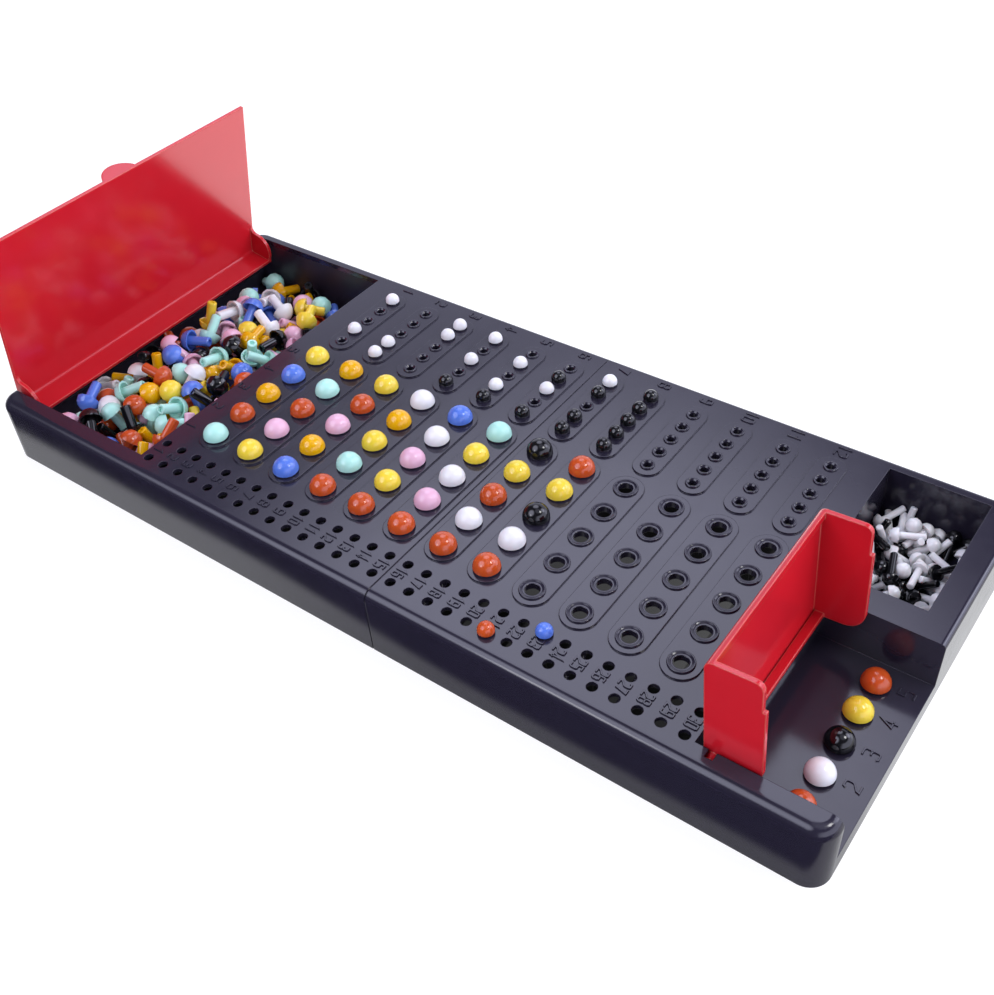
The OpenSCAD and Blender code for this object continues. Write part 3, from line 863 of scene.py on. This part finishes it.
def floor_finish():
    """Pale matt card; to the camera it is lifted to white, with the object's shadow left in, and
    under the case it is painted dark, a painted shadow. In reflections it is a white that is
    weaker in front of the case and at its right end, stronger a little way behind it, painted
    dark under it, and dark beyond a line in front of it."""
    made = bpy.data.materials.new("floor_card")
    made.use_nodes = True
    tree = made.node_tree
    link = tree.links.new
    out = tree.nodes["Material Output"]
    tree.nodes.remove(tree.nodes["Principled BSDF"])
    place = tree.nodes.new("ShaderNodeTexCoord").outputs["Object"]
    split = tree.nodes.new("ShaderNodeSeparateXYZ")
    link(place, split.inputs["Vector"])
    x, y = split.outputs["X"], split.outputs["Y"]
    card = node(tree, "ShaderNodeBsdfDiffuse", Color=(0.9, 0.9, 0.9, 1))
    pale = tree.nodes.new("ShaderNodeBsdfDiffuse")
    lift = node(tree, "ShaderNodeEmission", Color=(1, 1, 1, 1))
    under = times(
        tree,
        between(tree, x, -UNDER_X, UNDER_X, UNDER_FADE),
        between(tree, y, -UNDER_Y, UNDER_Y, UNDER_FADE),
    )
    # Painted shadow under the case: to the camera the lift there falls to a dim glow and the card's
    # colour to near black, standing for the case's shadow on the table seen through its holes.
    link(added(tree, times(tree, under, -0.76), 0.8), lift.inputs["Strength"])
    link(added(tree, times(tree, under, -0.25), 0.3), pale.inputs["Color"])
    both = tree.nodes.new("ShaderNodeAddShader")
    link(pale.outputs["BSDF"], both.inputs[0])
    link(lift.outputs["Emission"], both.inputs[1])
    rays = tree.nodes.new("ShaderNodeLightPath")

    left = faded(tree, x, 0.07, -0.07)
    front = added(tree, y, times(tree, left, LIT_SHIFT))
    lit = faded(tree, front, *LIT_Y)
    near = added(tree, times(tree, left, 0.35), 0.5)
    far = times(tree, faded(tree, y, -0.083, -0.02), 0.5)
    glare = times(tree, faded(tree, y, *GLARE_Y), faded(tree, x, *GLARE_X))
    level = added(tree, near, far, times(tree, glare, 1.7))
    even = node(tree, "ShaderNodeEmission", Color=(0.97, 0.98, 1.0, 1))
    # In reflections the floor under the case is painted darker too.
    painted_shade_in_reflections = added(tree, times(tree, under, -0.67), 1.0)
    link(times(tree, lit, level, painted_shade_in_reflections), even.inputs["Strength"])

    bounced = tree.nodes.new("ShaderNodeMixShader")
    link(rays.outputs["Is Glossy Ray"], bounced.inputs["Fac"])
    link(card.outputs["BSDF"], bounced.inputs[1])
    link(even.outputs["Emission"], bounced.inputs[2])
    choice = tree.nodes.new("ShaderNodeMixShader")
    link(rays.outputs["Is Camera Ray"], choice.inputs["Fac"])
    link(bounced.outputs["Shader"], choice.inputs[1])
    link(both.outputs["Shader"], choice.inputs[2])
    link(choice.outputs["Shader"], out.inputs["Surface"])
    return made


def new_floor():
    """Square sheet of card below the case."""
    half, drop = 4.0, -5e-5
    mesh = bpy.data.meshes.new("floor")
    corners = [(-half, -half, drop), (half, -half, drop), (half, half, drop), (-half, half, drop)]
    mesh.from_pydata(corners, [], [(0, 1, 2, 3)])
    mesh.materials.append(floor_finish())
    floor = bpy.data.objects.new("floor", mesh)
    bpy.context.scene.collection.objects.link(floor)


def lamp(name, way, distance, width, height, radiance):
    """Soft box at a distance along way from the case, facing it, of a given radiance."""
    data = bpy.data.lights.new(name, "AREA")
    data.shape = "RECTANGLE"
    data.size, data.size_y = width, height
    data.energy = radiance * math.pi * width * height
    box = bpy.data.objects.new(name, data)
    way = Vector(way).normalized()
    box.location = way * distance
    box.rotation_mode = "QUATERNION"
    box.rotation_quaternion = way.to_track_quat("Z", "Y")
    bpy.context.scene.collection.objects.link(box)


def new_camera():
    """Camera looking down on the case from its front right corner, with a slight roll."""
    place = Vector((SEAM_X + 225.1, -278.7, 343.0)) * MM
    azimuth, elevation, roll = (math.radians(a) for a in (39.2184, 42.6995, -4.6990))
    back = Vector((
        math.sin(azimuth) * math.cos(elevation),
        -math.cos(azimuth) * math.cos(elevation),
        math.sin(elevation),
    ))
    right = Vector((math.cos(azimuth), math.sin(azimuth), 0))
    up = back.cross(right)
    x = math.cos(roll) * right + math.sin(roll) * up
    y = -math.sin(roll) * right + math.cos(roll) * up
    data = bpy.data.cameras.new("camera")
    data.lens = 43.37
    data.sensor_width = 36.0
    data.clip_start, data.clip_end = 0.01, 20.0
    camera = bpy.data.objects.new("camera", data)
    camera.matrix_world = Matrix.Translation(place) @ Matrix((x, y, back)).transposed().to_4x4()
    bpy.context.scene.collection.objects.link(camera)
    bpy.context.scene.camera = camera


new_world()
new_floor()
lamp("box_front_left", (-0.25, -0.78, 0.56), 1.2, 0.24, 0.24, 4.5)
lamp("box_right", (0.58, 0.17, 0.80), 1.2, 0.30, 0.30, 12.5)
new_camera()
bpy.context.scene.view_settings.view_transform = "Standard"
